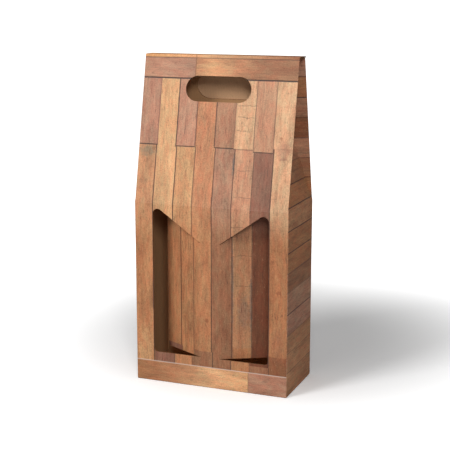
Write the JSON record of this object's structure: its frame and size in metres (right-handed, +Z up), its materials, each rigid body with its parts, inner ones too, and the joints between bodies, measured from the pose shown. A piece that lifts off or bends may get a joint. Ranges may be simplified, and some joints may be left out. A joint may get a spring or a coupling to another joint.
{
  "type": "bottle shipping box",
  "caption": "Folded board carrier for bottles: upright body, slanted upper panels with tucked-in ends, hand holes, window flaps and a top flap.",
  "frame": {"origin": "middle of the base, on the surface that the box stands on", "axes": "+Z up, -Y to the printed front with the windows, +X to the right of the front"},
  "size_m": [0.18, 0.086, 0.367],
  "materials": {
    "printed_board": "matte print of weathered planks outside, plain kraft inside"
  },
  "bodies": {
    "carton": {"carton": "printed_board"},
    "window_left": {"window_flap_left": "printed_board"},
    "window_right": {"window_flap_right": "printed_board"},
    "handle": {"handle_flap": "printed_board"},
    "top": {"top_flap": "printed_board"},
    "tuck": {"tuck_flap": "printed_board"}
  },
  "joints": [
    {"name": "window_left_fold", "type": "hinge", "parent": "carton", "child": "window_left", "pos_m": [-0.012, -0.0415, 0.1], "axis": [0, 0, -1], "range_deg": [-28, 62]},
    {"name": "window_right_fold", "type": "hinge", "parent": "carton", "child": "window_right", "pos_m": [0.012, -0.0415, 0.1], "axis": [0, 0, 1], "range_deg": [-28, 62]},
    {"name": "handle_fold", "type": "hinge", "parent": "carton", "child": "handle", "pos_m": [0, 0.01412, 0.34478], "axis": [1, 0, 0], "range_deg": [-3, 87]},
    {"name": "top_fold", "type": "hinge", "parent": "carton", "child": "top", "pos_m": [0, 0.00828, 0.3655], "axis": [-1, 0, 0], "range_deg": [0, 78]},
    {"name": "tuck_fold", "type": "hinge", "parent": "top", "child": "tuck", "pos_m": [0, -0.00613, 0.3655], "axis": [1, 0, 0], "range_deg": [0, 78]}
  ],
  "couplings": [
    {"joint": "tuck_fold", "follows": "top_fold", "ratio": 1}
  ]
}
